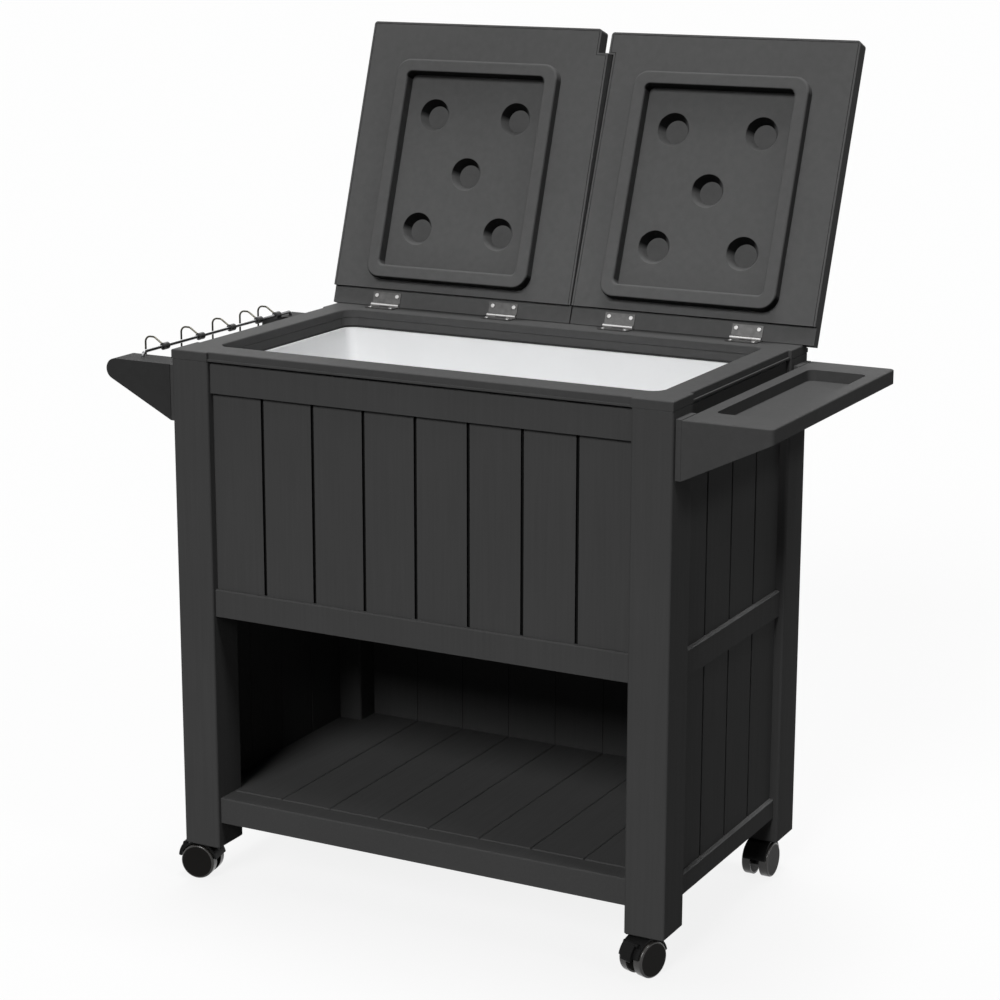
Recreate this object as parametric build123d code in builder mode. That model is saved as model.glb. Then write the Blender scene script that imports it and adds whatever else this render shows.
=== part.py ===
"""Patio cooler cart: an insulated tub in a boarded cabinet with two lids, on four casters.

Lengths are in millimetres and angles in degrees. +Z is up, the floor is at z = 0 and the
cabinet's front looks towards -Y. The origin lies on the floor under the middle of the whole
object, lids open.
"""
import os
from math import atan2, cos, degrees, radians, sin, tan

from build123d import *

os.makedirs("parts", exist_ok=True)

# Cabinet and legs
cabinet_width = 805.0
cabinet_depth = 490.0
rim_height = 830.0
leg_width = 62.0
leg_depth = 67.0
leg_wall = 4.0
leg_edge_radius = 4.0
leg_inner_chamfer = 29.0
leg_end_chamfer = 2.0

# Rim, collar and seal round the tub's mouth
rim_thickness = 13.5
rim_edge_radius = 2.0
rim_seam_chamfer = 1.0
fascia_setback = 5.0
fascia_lip = 3.0
mouth_side_setback = 44.5
mouth_front_setback = 54.0
mouth_rear_setback = 63.0
mouth_radius = 20.0
collar_height = 12.0
collar_thickness = 6.0
collar_seam = 0.8
seal_height = 3.5
seal_setback = 1.5

# Boarded panels
rail_setback = 8.0
rail_bevel = 2.0
rail_gap = 3.0
board_setback = 14.5
board_thickness = 8.0
groove_width = 5.0
groove_depth = 4.0
inner_groove_depth = 1.5
top_rail_height = 48.0
front_rail_bottom = 428.0
front_rail_height = 42.0
middle_rail_bottom = 423.0
middle_rail_height = 40.0
low_rail_bottom = 100.0
low_rail_height = 31.0
front_boards = 8
side_boards = 4

# Tub, its insulation and its drain
liner_ledge = 4.0
liner_wall = 3.0
liner_floor_radius = 12.0
support_height = 432.0
support_thickness = 8.0
floor_insulation = 25.0
wall_insulation_drop = 4.0
drain_inset = 108.0
drain_bore_radius = 9.0
drain_wall = 3.0
drain_flange_radius = 20.0
drain_flange_height = 2.0
drain_nut_height = 8.0
drain_nut_width = 34.0
drain_tail = 18.0
drain_hole_clearance = 0.3
plug_clearance = 0.05
plug_depth = 20.0
plug_head_radius = 14.0
plug_head_height = 5.0
plug_grip_width = 6.0
plug_grip_length = 20.0
plug_grip_height = 14.0

# Shelf
shelf_height = 140.0
shelf_lip_height = 40.0
shelf_lip_thickness = 5.0
shelf_deck = 6.0
shelf_border = 38.0
shelf_groove_depth = 2.0
shelf_groove_taper = 35.0
shelf_edge_radius = 2.5
shelf_rib = 4.0
shelf_rib_height = 22.0

# Side fittings: hanger strips, bar brackets, utensil bar and hooks
side_top_drop = 25.0
hanger_thickness = 9.0
hanger_width = 50.0
hanger_inset = 7.5
hanger_edge_radius = 1.5
bracket_reach = 123.5
bracket_nose_radius = 16.0
bracket_slope = 27.0
bracket_wall = 3.0
bar_radius = 2.5
bar_clearance = 0.05
bar_setout = 79.5
bar_rise = 7.0
bar_end_inset = 40.0
bar_bend_radius = 6.0
bar_insert = 12.0
hook_shares = (0.14, 0.37, 0.58, 0.77, 0.90)
hook_wire_radius = 1.5
hook_clip_radius = 5.5
hook_clip_length = 12.0
hook_arch_rise = 12.0
hook_reach = 36.0
hook_drop = 52.0
hook_bend_radius = 10.0

# Condiment tray
tray_reach = 139.5
tray_edge = 21.0
tray_wall = 3.0
tray_corner_radius = 8.0
tray_edge_radius = 2.0
well_inner_border = 21.0
well_outer_border = 20.0
well_end_border = 62.5
well_depth = 16.0
well_radius = 12.0

# Lids
left_lid_angle = 108.6
right_lid_angle = 110.7
pin_setback = 24.0
lid_front_setback = 4.0
lid_overhang = 12.5
lid_shift = 4.5
lid_back = 1.5
lid_rest_gap = 0.3
lid_stop_gap = 0.3
lid_shell_height = 20.0
lid_wall = 3.0
lid_ledge = 3.0
lid_corner_radius = 5.0
lid_edge_radius = 3.0
hinge_strip = 26.0
panel_sheet = 3.0
panel_gap = 0.7
seam_step = 11.5
seam_gap = 2.0
notch_length = 38.0
notch_width = 16.5
notch_tab = 8.5
notch_gap = 2.0
foam_clearance = 0.3
ring_width = 289.0
ring_offset = 207.0
ring_front_margin = 63.0
ring_clearance = 2.0
ring_height = 17.0
ring_band = 22.0
ring_radius = 24.0
ring_edge_radius = 4.0
recess_radius = 8.0
recess_sink = 3.0
pocket_radius = 26.0
pocket_floor_radius = 18.0
pocket_depth = 15.0
pocket_edge_radius = 1.5
pocket_pitch_across = 73.0
pocket_pitch_along = 92.7

# Hinges and their screws
hinge_length = 50.0
hinge_near = 101.0
hinge_far = 312.0
middle_knuckle = 18.0
knuckle_radius = 3.0
knuckle_gap = 0.3
hinge_gap = 0.4
leaf_reach = 21.0
leaf_thickness = 1.5
pin_radius = 1.5
pin_clearance = 0.05
screw_pitch = 37.0
screw_distance = 15.0
screw_radius = 1.3
screw_clearance = 0.05
screw_length = 4.0
screw_head_radius = 3.4
screw_head_height = 1.2

# Casters
caster_height = 60.0
caster_trail = 20.5
caster_gap = 0.3
wheel_radius = 27.0
wheel_width = 14.0
wheel_gap = 0.5
wheel_edge = 3.0
wheel_cap = 3.0
web_thickness = 14.0
hood_gap = 1.5
hood_thickness = 3.0
hood_width = 36.0
hood_start = 12.0
hub_radius = 12.0
axle_radius = 4.0
axle_clearance = 0.05
stem_radius = 5.0
stem_length = 44.0
stem_boss_height = 20.0
stem_collar_radius = 12.0
stem_collar_height = 5.0
socket_height = 36.0
socket_clearance = 0.1
lever_angle = 47.0
lever_tip_angle = 4.0
lever_tip_radius = 2.0
lever_hub_radius = 3.0
lever_gap = 0.5
lever_thickness = 4.5
lever_width = 18.0
lever_pin_radius = 1.5
lug_width = 4.0
caster_turns = {
    "front_left": -80.0,
    "front_right": -19.0,
    "rear_left": -35.0,
    "rear_right": 0.0,
}
braked_casters = ("front_left", "front_right")

# Heights that follow from the sizes above
leg_bottom = caster_height
rim_bottom = rim_height - rim_thickness
collar_bottom = rim_bottom - collar_height
liner_top = collar_bottom - seal_height
support_top = support_height + support_thickness
liner_bottom = support_top + floor_insulation
tub_floor = liner_bottom + liner_wall
shelf_bottom = shelf_height - shelf_lip_height
side_top = rim_height - side_top_drop
panel_back = board_setback + board_thickness

# The lid's levels are measured square to the lid from the hinge pin's axis
strip_level = knuckle_radius + hinge_gap
pin_height = knuckle_radius + hinge_gap
face_level = lid_rest_gap - pin_height
sheet_level = face_level + panel_sheet
skin_level = strip_level + lid_shell_height - lid_wall
top_level = strip_level + lid_shell_height
lid_length = cabinet_depth - pin_setback - lid_front_setback

# Places: the origin is under the middle of the whole object's box
lid_rear_reach = (
    cabinet_depth - pin_setback
    + lid_length * sin(radians(right_lid_angle - 90))
    + top_level * cos(radians(right_lid_angle - 90))
)
hood_inner = wheel_radius + hood_gap
hood_outer = hood_inner + hood_thickness
lever_outer = hood_outer + lever_gap + lever_thickness
caster_front_reach = caster_trail + lever_outer - leg_depth / 2
mid_x = (bracket_reach - tray_reach) / 2
left_x = mid_x - cabinet_width / 2
right_x = mid_x + cabinet_width / 2
front_y = -(lid_rear_reach - caster_front_reach) / 2
rear_y = front_y + cabinet_depth
mid_y = front_y + cabinet_depth / 2
lid_mid_x = mid_x + lid_shift
pin_y = rear_y - pin_setback
pin_z = rim_height + pin_height
mouth_width = cabinet_width - 2 * mouth_side_setback
mouth_depth = cabinet_depth - mouth_front_setback - mouth_rear_setback
mouth_rear_y = rear_y - mouth_rear_setback
mouth_mid_y = mouth_rear_y - mouth_depth / 2
drain_place = (mid_x + mouth_width / 2 - drain_inset, mouth_mid_y)
drain_tube_radius = drain_bore_radius + drain_wall
leg_places = {
    "front_left": (left_x + leg_width / 2, front_y + leg_depth / 2),
    "front_right": (right_x - leg_width / 2, front_y + leg_depth / 2),
    "rear_left": (left_x + leg_width / 2, rear_y - leg_depth / 2),
    "rear_right": (right_x - leg_width / 2, rear_y - leg_depth / 2),
}


def rectangle(low, high, mode=Mode.ADD):
    """Add a rectangle between two corners to the sketch in hand."""
    with Locations(((low[0] + high[0]) / 2, (low[1] + high[1]) / 2)):
        Rectangle(high[0] - low[0], high[1] - low[1], mode=mode)


def rounded_rectangle(low, high, radius, mode=Mode.ADD):
    """Add a rectangle with round corners to the sketch in hand."""
    with Locations(((low[0] + high[0]) / 2, (low[1] + high[1]) / 2)):
        RectangleRounded(high[0] - low[0], high[1] - low[1], radius, mode=mode)


def mouth_outline(grow, mode=Mode.ADD):
    """Add the outline of the tub's mouth, grown outwards, to the sketch in hand."""
    with Locations((mid_x, mouth_mid_y)):
        RectangleRounded(mouth_width + 2 * grow, mouth_depth + 2 * grow, mouth_radius + grow, mode=mode)


def floor_outline(front_setback):
    """Add the plan of a floor that fills the cabinet between its panels and legs."""
    rectangle(
        (left_x + panel_back, front_y + leg_depth),
        (right_x - panel_back, rear_y - leg_depth),
    )
    rectangle(
        (left_x + leg_width, front_y + front_setback),
        (right_x - leg_width, rear_y - panel_back),
    )


def finish(piece, name):
    """Label a finished piece and write it out."""
    piece.part.label = name
    export_step(piece.part, f"parts/{name}.step")


# Legs: hollow posts with round edges; beside the tub the inner edge is cut to clear it
def leg_section(place, height):
    """Return the full plan of a leg, with round edges."""
    with BuildSketch(Plane.XY.offset(height)) as section:
        with Locations(place):
            RectangleRounded(leg_width, leg_depth, leg_edge_radius)
    return section.sketch


def cut_leg_section(place, height, inset):
    """Return the plan of a leg with its inner edge cut, drawn in by an inset on all sides."""
    with BuildSketch(Plane.XY.offset(height)) as section:
        with Locations(place):
            Rectangle(leg_width, leg_depth)
        corners = section.vertices().sort_by_distance((mid_x, mid_y, 0))
        fillet(corners[1:], radius=leg_edge_radius)
        inner_corner = section.vertices().sort_by_distance((mid_x, mid_y, 0))[0]
        chamfer(inner_corner, length=leg_inner_chamfer)
        if inset > 0:
            offset(amount=-inset, mode=Mode.REPLACE)
    return section.sketch


for corner, place in leg_places.items():
    with BuildPart() as leg:
        extrude(leg_section(place, leg_bottom), amount=support_height - leg_bottom)
        foot = leg.faces().sort_by(Axis.Z)[0]
        chamfer(foot.edges(), length=leg_end_chamfer)
        extrude(cut_leg_section(place, support_height, 0), amount=rim_bottom - support_height)
        head = leg.faces().sort_by(Axis.Z)[-1]
        chamfer(head.edges(), length=leg_end_chamfer / 2)
        hollow = cut_leg_section(place, leg_bottom, leg_wall)
        extrude(hollow, amount=rim_bottom - leg_bottom, mode=Mode.SUBTRACT)
    finish(leg, f"{corner}_leg")


# Boarded panels: boards set back between proud rails, with grooves from rail to rail
def panel_outline(plane, rails):
    """Return a panel's upright section: depth inwards along x, height along y."""
    points = []
    for bottom, top in rails:
        points.append((board_setback, bottom))
        points.append((rail_setback, bottom))
        points.append((rail_setback, top - rail_bevel))
        points.append((rail_setback + rail_bevel, top))
        points.append((board_setback, top))
    points = points[1:]
    points.append((board_setback, rim_bottom))
    points.append((panel_back, rim_bottom))
    points.append((panel_back, rails[0][0]))
    with BuildSketch(plane) as outline:
        with BuildLine():
            Polyline(*points, close=True)
        make_face()
    return outline.sketch


def panel_grooves(plane, setback, length, rails, boards):
    """Return the groove strips between the boards, drawn on the boards' face."""
    inwards = plane.x_dir
    face = Plane(plane.origin + inwards * setback, x_dir=plane.z_dir, z_dir=-inwards)
    with BuildSketch(face) as grooves:
        for lower, upper in zip(rails, rails[1:]):
            for board in range(1, boards):
                middle = length * board / boards
                rectangle((middle - groove_width / 2, lower[1]), (middle + groove_width / 2, upper[0]))
    return grooves.sketch


def boarded_panel(plane, length, rails, boards):
    """Build a boarded panel in the part in hand, along the plane's normal."""
    extrude(panel_outline(plane, rails), amount=length)
    outer = panel_grooves(plane, board_setback, length, rails, boards)
    extrude(outer, amount=-groove_depth, mode=Mode.SUBTRACT)
    inner = panel_grooves(plane, panel_back, length, rails, boards)
    extrude(inner, amount=inner_groove_depth, mode=Mode.SUBTRACT)


top_rail = (rim_bottom - top_rail_height, rim_bottom - rail_gap)
front_rail = (front_rail_bottom, front_rail_bottom + front_rail_height)
middle_rail = (middle_rail_bottom, middle_rail_bottom + middle_rail_height)
low_rail = (low_rail_bottom, low_rail_bottom + low_rail_height)
front_rails = (front_rail, top_rail)
full_rails = (low_rail, middle_rail, top_rail)
front_length = cabinet_width - 2 * leg_width
side_length = cabinet_depth - 2 * leg_depth
front_plane = Plane((left_x + leg_width, front_y, 0), x_dir=(0, 1, 0), z_dir=(1, 0, 0))
rear_plane = Plane((right_x - leg_width, rear_y, 0), x_dir=(0, -1, 0), z_dir=(-1, 0, 0))
left_plane = Plane((left_x, rear_y - leg_depth, 0), x_dir=(1, 0, 0), z_dir=(0, -1, 0))
right_plane = Plane((right_x, front_y + leg_depth, 0), x_dir=(-1, 0, 0), z_dir=(0, 1, 0))

with BuildPart() as front_panel:
    boarded_panel(front_plane, front_length, front_rails, front_boards)
finish(front_panel, "front_panel")

with BuildPart() as rear_panel:
    boarded_panel(rear_plane, front_length, full_rails, front_boards)
finish(rear_panel, "rear_panel")

with BuildPart() as left_side_panel:
    boarded_panel(left_plane, side_length, full_rails, side_boards)
finish(left_side_panel, "left_side_panel")

with BuildPart() as right_side_panel:
    boarded_panel(right_plane, side_length, full_rails, side_boards)
finish(right_side_panel, "right_side_panel")


# Rim: full size over the legs, set back between them, sloped behind the hinges for the lids
def lid_stop_section(open_angle):
    """Return the wedge cut from the rim's rear edge, which the open lid's end lies along."""
    lean = radians(open_angle - 90)
    corner_y = pin_y + strip_level * cos(lean) - lid_back * sin(lean)
    corner_z = pin_z - strip_level * sin(lean) - lid_back * cos(lean) - lid_stop_gap / cos(lean)
    start_y = corner_y - (rim_height - corner_z) / tan(lean)
    end_y = rear_y + rim_edge_radius
    end_z = rim_height - (end_y - start_y) * tan(lean)
    with BuildSketch(Plane.YZ.offset(mid_x)) as wedge:
        with BuildLine():
            Polyline((start_y, rim_height), (end_y, rim_height), (end_y, end_z), close=True)
        make_face()
    return wedge.sketch


lid_hinges = {
    "left": (mid_x - hinge_far, mid_x - hinge_near),
    "right": (mid_x + hinge_near, mid_x + hinge_far),
}
rim_screw_places = [
    (hinge_x + side * screw_pitch / 2, pin_y - screw_distance)
    for hinges in lid_hinges.values()
    for hinge_x in hinges
    for side in (-1, 1)
]

def rim_plan(height, setback):
    """Return the rim's plan, full over the legs and set back between them."""
    with BuildSketch(Plane.XY.offset(height)) as plan:
        rectangle((left_x, front_y), (right_x, rear_y))
        for fascia_y in (front_y, rear_y):
            with Locations((mid_x, fascia_y)):
                Rectangle(front_length, 2 * setback, mode=Mode.SUBTRACT)
        for fascia_x in (left_x, right_x):
            with Locations((fascia_x, mid_y)):
                Rectangle(2 * setback, side_length, mode=Mode.SUBTRACT)
        mouth_outline(0, mode=Mode.SUBTRACT)
    return plan.sketch


with BuildPart() as top_rim:
    extrude(rim_plan(rim_bottom, fascia_setback), amount=rim_thickness)
    fillet(top_rim.faces().sort_by(Axis.Z)[-1].edges(), radius=rim_edge_radius)
    extrude(rim_plan(rim_bottom, fascia_setback - fascia_lip), amount=fascia_lip)
    mouth_edges = top_rim.faces().sort_by(Axis.Z)[0].inner_wires()[0].edges()
    chamfer(mouth_edges, length=rim_seam_chamfer)
    half_width = cabinet_width / 2 + rim_edge_radius
    extrude(lid_stop_section(left_lid_angle), amount=-half_width, mode=Mode.SUBTRACT)
    extrude(lid_stop_section(right_lid_angle), amount=half_width, mode=Mode.SUBTRACT)
    with BuildSketch(Plane.XY.offset(rim_height)):
        with Locations(*rim_screw_places):
            Circle(screw_radius + screw_clearance)
    extrude(amount=-screw_length, mode=Mode.SUBTRACT)
finish(top_rim, "top_rim")

# Collar: a band under the rim in four strips and four corner pieces, with open seams
seam_x = mouth_width / 2 - mouth_radius
seam_y = mouth_depth / 2 - mouth_radius
with BuildPart() as rim_collar:
    with BuildSketch(Plane.XY.offset(collar_bottom)):
        mouth_outline(collar_thickness)
        mouth_outline(0, mode=Mode.SUBTRACT)
        for side in (-1, 1):
            with Locations((mid_x + side * seam_x, mouth_mid_y)):
                Rectangle(collar_seam, cabinet_depth, mode=Mode.SUBTRACT)
            with Locations((mid_x, mouth_mid_y + side * seam_y)):
                Rectangle(cabinet_width, collar_seam, mode=Mode.SUBTRACT)
    extrude(amount=collar_height)
finish(rim_collar, "rim_collar")

with BuildPart() as tub_seal:
    with BuildSketch(Plane.XY.offset(liner_top)):
        mouth_outline(collar_thickness)
        mouth_outline(seal_setback, mode=Mode.SUBTRACT)
    extrude(amount=seal_height)
finish(tub_seal, "tub_seal")

# Tub: a moulded liner with a flange, on insulation and a support panel
def tub_block(grow, bottom, radius):
    """Return a block as deep as the tub, with a rounded bottom edge."""
    with BuildPart() as block:
        with BuildSketch(Plane.XY.offset(bottom)):
            mouth_outline(grow)
        extrude(amount=liner_top - bottom)
        fillet(block.faces().sort_by(Axis.Z)[0].edges(), radius=radius)
    return block.part


tub_outside = tub_block(liner_wall - liner_ledge, liner_bottom, liner_floor_radius + liner_wall)
tub_inside = tub_block(-liner_ledge, tub_floor, liner_floor_radius)

with BuildPart() as tub_liner:
    add(tub_outside)
    with BuildSketch(Plane.XY.offset(liner_top - liner_wall)):
        mouth_outline(collar_thickness)
    extrude(amount=liner_wall)
    add(tub_inside, mode=Mode.SUBTRACT)
    with BuildSketch(Plane.XY.offset(liner_bottom)):
        with Locations(drain_place):
            Circle(drain_tube_radius + drain_hole_clearance)
    extrude(amount=liner_wall, mode=Mode.SUBTRACT)
finish(tub_liner, "tub_liner")

wall_insulation_top = liner_top - liner_wall - wall_insulation_drop
with BuildPart() as tub_insulation:
    with BuildSketch(Plane.XY.offset(support_top)):
        floor_outline(panel_back)
        with Locations(drain_place):
            Circle(drain_tube_radius + drain_hole_clearance, mode=Mode.SUBTRACT)
    extrude(amount=floor_insulation)
    with BuildSketch(Plane.XY.offset(liner_bottom)):
        floor_outline(panel_back)
        mouth_outline(liner_wall - liner_ledge, mode=Mode.SUBTRACT)
    extrude(amount=wall_insulation_top - liner_bottom)
finish(tub_insulation, "tub_insulation")

with BuildPart() as tub_support_panel:
    with BuildSketch(Plane.XY.offset(support_height)):
        floor_outline(panel_back)
        with Locations(drain_place):
            Circle(drain_tube_radius + drain_hole_clearance, mode=Mode.SUBTRACT)
    extrude(amount=support_thickness)
finish(tub_support_panel, "tub_support_panel")

# Drain: a flanged spout through the tub's floor, its nut below and a plug from above
with BuildPart() as drain_spout:
    with BuildSketch(Plane.XY.offset(support_height - drain_tail)):
        with Locations(drain_place):
            Circle(drain_tube_radius)
    extrude(amount=tub_floor - support_height + drain_tail)
    with BuildSketch(Plane.XY.offset(tub_floor)):
        with Locations(drain_place):
            Circle(drain_flange_radius)
    extrude(amount=drain_flange_height)
    with BuildSketch(Plane.XY.offset(support_height - drain_tail)):
        with Locations(drain_place):
            Circle(drain_bore_radius)
    extrude(amount=cabinet_depth, mode=Mode.SUBTRACT)
finish(drain_spout, "drain_spout")

with BuildPart() as drain_nut:
    with BuildSketch(Plane.XY.offset(support_height)):
        with Locations(drain_place):
            RegularPolygon(drain_nut_width / 2, 6, major_radius=False)
            Circle(drain_tube_radius + plug_clearance, mode=Mode.SUBTRACT)
    extrude(amount=-drain_nut_height)
finish(drain_nut, "drain_nut")

plug_seat = tub_floor + drain_flange_height
with BuildPart() as drain_plug:
    with BuildSketch(Plane.XY.offset(plug_seat)):
        with Locations(drain_place):
            Circle(drain_bore_radius - plug_clearance)
    extrude(amount=-plug_depth)
    with BuildSketch(Plane.XY.offset(plug_seat)):
        with Locations(drain_place):
            Circle(plug_head_radius)
    extrude(amount=plug_head_height)
    with BuildSketch(Plane.XY.offset(plug_seat + plug_head_height)):
        with Locations(drain_place):
            Rectangle(plug_grip_length, plug_grip_width)
    extrude(amount=plug_grip_height)
    grip_ends = drain_plug.edges().filter_by(Axis.Y).group_by(Axis.Z)[-1]
    fillet(grip_ends, radius=plug_grip_length / 4)
finish(drain_plug, "drain_plug")

# Shelf: a grooved deck with a deep front lip and ribs below
with BuildPart() as shelf:
    with BuildSketch(Plane.XY.offset(shelf_height - shelf_deck)):
        floor_outline(rail_setback)
    extrude(amount=shelf_deck)
    lip_front = front_y + rail_setback
    with BuildSketch(Plane.XY.offset(shelf_bottom)):
        rectangle((left_x + leg_width, lip_front), (right_x - leg_width, lip_front + shelf_lip_thickness))
    extrude(amount=shelf_lip_height)
    lip_edge = shelf.edges().filter_by(Axis.X).sort_by_distance((mid_x, lip_front, shelf_height))[0]
    fillet(lip_edge, radius=shelf_edge_radius)
    rib_bottom = shelf_height - shelf_deck - shelf_rib_height
    with BuildSketch(Plane.XY.offset(rib_bottom)):
        for board in range(2, front_boards, 2):
            rib_x = left_x + leg_width + front_length * board / front_boards
            rectangle((rib_x - shelf_rib / 2, lip_front), (rib_x + shelf_rib / 2, rear_y - panel_back))
    extrude(amount=shelf_rib_height)
    groove_start = lip_front + shelf_border
    with BuildSketch(Plane.XY.offset(shelf_height)):
        rectangle((left_x, groove_start - groove_width / 2), (right_x, groove_start + groove_width / 2))
        for board in range(1, front_boards):
            groove_x = left_x + leg_width + front_length * board / front_boards
            rectangle((groove_x - groove_width / 2, groove_start), (groove_x + groove_width / 2, rear_y))
    extrude(amount=-shelf_groove_depth, taper=shelf_groove_taper, mode=Mode.SUBTRACT)
finish(shelf, "shelf")

# Side fittings are drawn in an upright plane: distance from the cabinet's side, then height
nose_x = bracket_reach - bracket_nose_radius
nose_z = side_top - bracket_nose_radius
slope = radians(bracket_slope)


def bracket_root(inset):
    """Return the height where the bracket's sloped lower edge meets its hanger."""
    radius = bracket_nose_radius - inset
    return nose_z - radius * cos(slope) - (nose_x + radius * sin(slope) - hanger_thickness) * tan(slope)


hanger_bottom = bracket_root(0)
left_fitting = Plane((left_x, front_y, 0), x_dir=(-1, 0, 0), z_dir=(0, 1, 0))
right_fitting = Plane((right_x, front_y, 0), x_dir=(1, 0, 0), z_dir=(0, -1, 0))
hanger_starts = (hanger_inset, cabinet_depth - hanger_inset - hanger_width)

with BuildPart() as hanger_strips:
    for start in hanger_starts:
        for inner_x in (left_x - hanger_thickness, right_x):
            with BuildSketch(Plane.XY.offset(hanger_bottom)) as strip:
                rectangle(
                    (inner_x, front_y + start),
                    (inner_x + hanger_thickness, front_y + start + hanger_width),
                )
            extrude(amount=side_top - hanger_bottom)
    fillet(hanger_strips.edges().filter_by(Axis.Z), radius=hanger_edge_radius)
finish(hanger_strips, "hanger_strips")


def bracket_section(plane, inset):
    """Return a bar bracket's section: flat top, round nose and sloped lower edge."""
    radius = bracket_nose_radius - inset
    top = side_top - inset
    with BuildSketch(plane) as section:
        with BuildLine():
            edge = Line((hanger_thickness, top), (nose_x, top))
            nose = CenterArc((nose_x, nose_z), radius, 90, -(180 - bracket_slope))
            root = (hanger_thickness, bracket_root(inset))
            Polyline(nose @ 1, root, edge @ 0)
        make_face()
    return section.sketch


bar_x = left_x - bar_setout
bar_z = side_top + bar_rise
bar_ends = (front_y + bar_end_inset, rear_y - bar_end_inset)
for name, start, bar_y in zip(("front", "rear"), hanger_starts, bar_ends):
    with BuildPart() as bar_bracket:
        extrude(bracket_section(left_fitting.offset(start), 0), amount=hanger_width)
        hollow = bracket_section(left_fitting.offset(start + bracket_wall), bracket_wall)
        extrude(hollow, amount=hanger_width - 2 * bracket_wall, mode=Mode.SUBTRACT)
        with BuildSketch(Plane.XY.offset(side_top)):
            with Locations((bar_x, bar_y)):
                Circle(bar_radius + bar_clearance)
        extrude(amount=-bracket_wall, mode=Mode.SUBTRACT)
    finish(bar_bracket, f"{name}_bar_bracket")

with BuildPart() as utensil_bar:
    foot_z = side_top - bar_insert
    with BuildLine() as bar_path:
        FilletPolyline(
            (bar_x, bar_ends[0], foot_z),
            (bar_x, bar_ends[0], bar_z),
            (bar_x, bar_ends[1], bar_z),
            (bar_x, bar_ends[1], foot_z),
            radius=bar_bend_radius,
        )
    with BuildSketch(Plane((bar_x, bar_ends[0], foot_z))):
        Circle(bar_radius)
    sweep()
finish(utensil_bar, "utensil_bar")

# Hooks: a clip that slides on the bar, and a wire that arches out and ends in a loop
for number, share in enumerate(hook_shares, start=1):
    hook_y = bar_ends[0] + share * (bar_ends[1] - bar_ends[0])
    hook_plane = Plane((bar_x, hook_y, bar_z), x_dir=(-1, 0, 0), z_dir=(0, 1, 0))
    wire_start = (hook_clip_radius * 2 / 3, hook_wire_radius)
    outwards = (hook_reach - wire_start[0], hook_arch_rise - wire_start[1])
    with BuildPart() as hook:
        with BuildSketch(hook_plane.offset(-hook_clip_length / 2)):
            Circle(hook_clip_radius)
        extrude(amount=hook_clip_length)
        with BuildLine(hook_plane) as wire:
            FilletPolyline(
                wire_start,
                (wire_start[0] + outwards[0] / 2, hook_arch_rise),
                (hook_reach, hook_arch_rise),
                (hook_reach, -hook_drop),
                (hook_reach - 2 * hook_bend_radius, -hook_drop),
                (hook_reach - 2 * hook_bend_radius, hook_bend_radius / 2 - hook_drop + hook_bend_radius),
                radius=hook_bend_radius * 0.9,
            )
        with BuildSketch(Plane(wire.line @ 0, z_dir=wire.line % 0)):
            Circle(hook_wire_radius)
        sweep()
        with BuildSketch(hook_plane.offset(-hook_clip_length / 2)):
            Circle(bar_radius + bar_clearance)
        extrude(amount=hook_clip_length, mode=Mode.SUBTRACT)
    finish(hook, f"hook_{number}")

# Condiment tray: a moulded tray with a sunk well and a gusset box at each end, open below
tray_low = side_top - tray_edge
tray_inner_x = right_x + hanger_thickness
tray_outer_x = right_x + tray_reach
tray_front_y = front_y + hanger_inset
tray_rear_y = rear_y - hanger_inset
well_low = (tray_inner_x + well_inner_border, tray_front_y + well_end_border)
well_high = (tray_outer_x - well_outer_border, tray_rear_y - well_end_border)


def gusset_section(plane):
    """Return a tray end's section: flat top, square outer edge and sloped lower edge."""
    with BuildSketch(plane) as section:
        with BuildLine():
            Polyline(
                (hanger_thickness, side_top),
                (tray_reach, side_top),
                (tray_reach, tray_low),
                (hanger_thickness, hanger_bottom),
                close=True,
            )
        make_face()
    return section.sketch


with BuildPart() as condiment_tray:
    with BuildSketch(Plane.XY.offset(tray_low)):
        rectangle((tray_inner_x, tray_front_y), (tray_outer_x, tray_rear_y))
    extrude(amount=tray_edge)
    for start in hanger_starts:
        extrude(gusset_section(right_fitting.offset(-start)), amount=-hanger_width)
    outer_corners = condiment_tray.edges().filter_by(Axis.Z).group_by(Axis.X)[-1]
    fillet(outer_corners, radius=tray_corner_radius)
    fillet(condiment_tray.faces().sort_by(Axis.Z)[-1].edges(), radius=tray_edge_radius)
    with BuildSketch(Plane.XY.offset(side_top - tray_wall)):
        hollow_x = (tray_inner_x + tray_wall, tray_outer_x - tray_wall)
        for start in hanger_starts:
            rectangle(
                (hollow_x[0], front_y + start + tray_wall),
                (hollow_x[1], front_y + start + hanger_width - tray_wall),
            )
        rectangle(
            (hollow_x[0], tray_front_y + hanger_width),
            (hollow_x[1], tray_rear_y - hanger_width),
        )
        rounded_rectangle(
            (well_low[0] - tray_wall, well_low[1] - tray_wall),
            (well_high[0] + tray_wall, well_high[1] + tray_wall),
            well_radius + tray_wall,
            mode=Mode.SUBTRACT,
        )
    extrude(amount=-(side_top - hanger_bottom), mode=Mode.SUBTRACT)
    with BuildSketch(Plane.XY.offset(side_top)):
        rounded_rectangle(well_low, well_high, well_radius)
    extrude(amount=-well_depth, mode=Mode.SUBTRACT)
finish(condiment_tray, "condiment_tray")


# Hinges: leaves with knuckles round one pin; the rim's leaf has the outer two knuckles
def hinge_sections(plane, leaf_low, tab):
    """Return a leaf's plate and its knuckle: distance from the pin along x, level along y."""
    plate_start = knuckle_radius + hinge_gap
    with BuildSketch(plane) as plate:
        rectangle((plate_start, leaf_low), (leaf_reach, leaf_low + leaf_thickness))
    with BuildSketch(plane) as knuckle:
        Circle(knuckle_radius)
        rectangle((0, leaf_low), (tab, leaf_low + leaf_thickness))
        Circle(pin_radius + pin_clearance, mode=Mode.SUBTRACT)
    return plate.sketch, knuckle.sketch


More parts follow.
